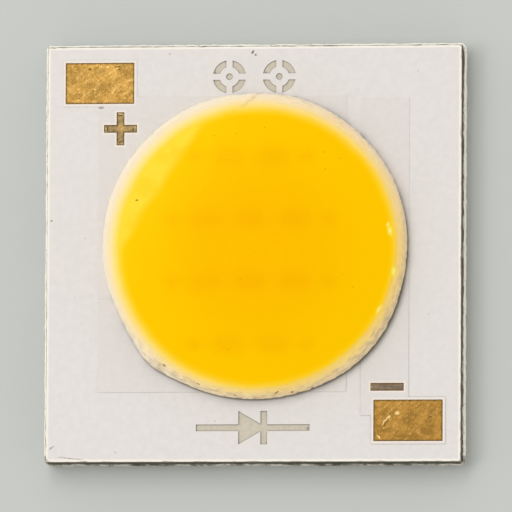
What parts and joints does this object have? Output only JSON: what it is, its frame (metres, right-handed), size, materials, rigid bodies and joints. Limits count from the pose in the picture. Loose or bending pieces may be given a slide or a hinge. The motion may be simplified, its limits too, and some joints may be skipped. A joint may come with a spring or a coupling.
{
  "type": "chip-on-board led",
  "caption": "Square metal-core board with a round dammed pool of yellow phosphor silicone over wired dies, and a solder pad at two opposite corners.",
  "frame": {"origin": "centre of the board's underside, the face that is pressed to a heat sink", "axes": "+Z out of the light-emitting face; +Y towards the edge beside the plus pad that carries the two sighting marks; +X towards the minus pad's edge"},
  "size_m": [0.0136, 0.0136, 0.0019],
  "materials": {
    "base_aluminium": "rolled, dull, with a snapped rim",
    "dielectric": "filled epoxy, greyish beige",
    "copper": "copper under the mask",
    "white_mask": "white solder mask, satin",
    "anode_gold": "gold finish, scuffed",
    "cathode_gold": "gold finish, darker, scratched",
    "mark_gold": "gold finish, dull",
    "inner_gold": "gold finish under the silicone",
    "attach_silicone": "cloudy silicone",
    "dam_silicone": "cream silicone, satin",
    "phosphor_silicone": "yellow phosphor in clear silicone, glossy",
    "die": "sapphire die",
    "bond_gold": "drawn gold wire"
  },
  "bodies": {
    "root": {"aluminium_base": "base_aluminium", "dielectric_layer": "dielectric", "anode_copper": "copper", "cathode_copper": "copper", "upper_series_copper": "copper", "lower_series_copper": "copper", "solder_mask": "white_mask", "anode_pad": "anode_gold", "cathode_pad": "cathode_gold", "plus_mark": "mark_gold", "minus_mark": "mark_gold", "die_pads": "inner_gold", "bond_pads": "inner_gold", "die_attach": "attach_silicone", "silicone_dam": "dam_silicone", "phosphor_fill": "phosphor_silicone", "led_die_1": "die", "led_die_2": "die", "led_die_3": "die", "led_die_4": "die", "led_die_5": "die", "led_die_6": "die", "led_die_7": "die", "led_die_8": "die", "led_die_9": "die", "led_die_10": "die", "bond_wire_1": "bond_gold", "bond_wire_2": "bond_gold", "bond_wire_3": "bond_gold", "bond_wire_4": "bond_gold", "bond_wire_5": "bond_gold", "bond_wire_6": "bond_gold", "bond_wire_7": "bond_gold", "bond_wire_8": "bond_gold", "bond_wire_9": "bond_gold", "bond_wire_10": "bond_gold", "bond_wire_11": "bond_gold", "bond_wire_12": "bond_gold", "bond_wire_13": "bond_gold", "bond_wire_14": "bond_gold"}
  },
  "joints": []
}
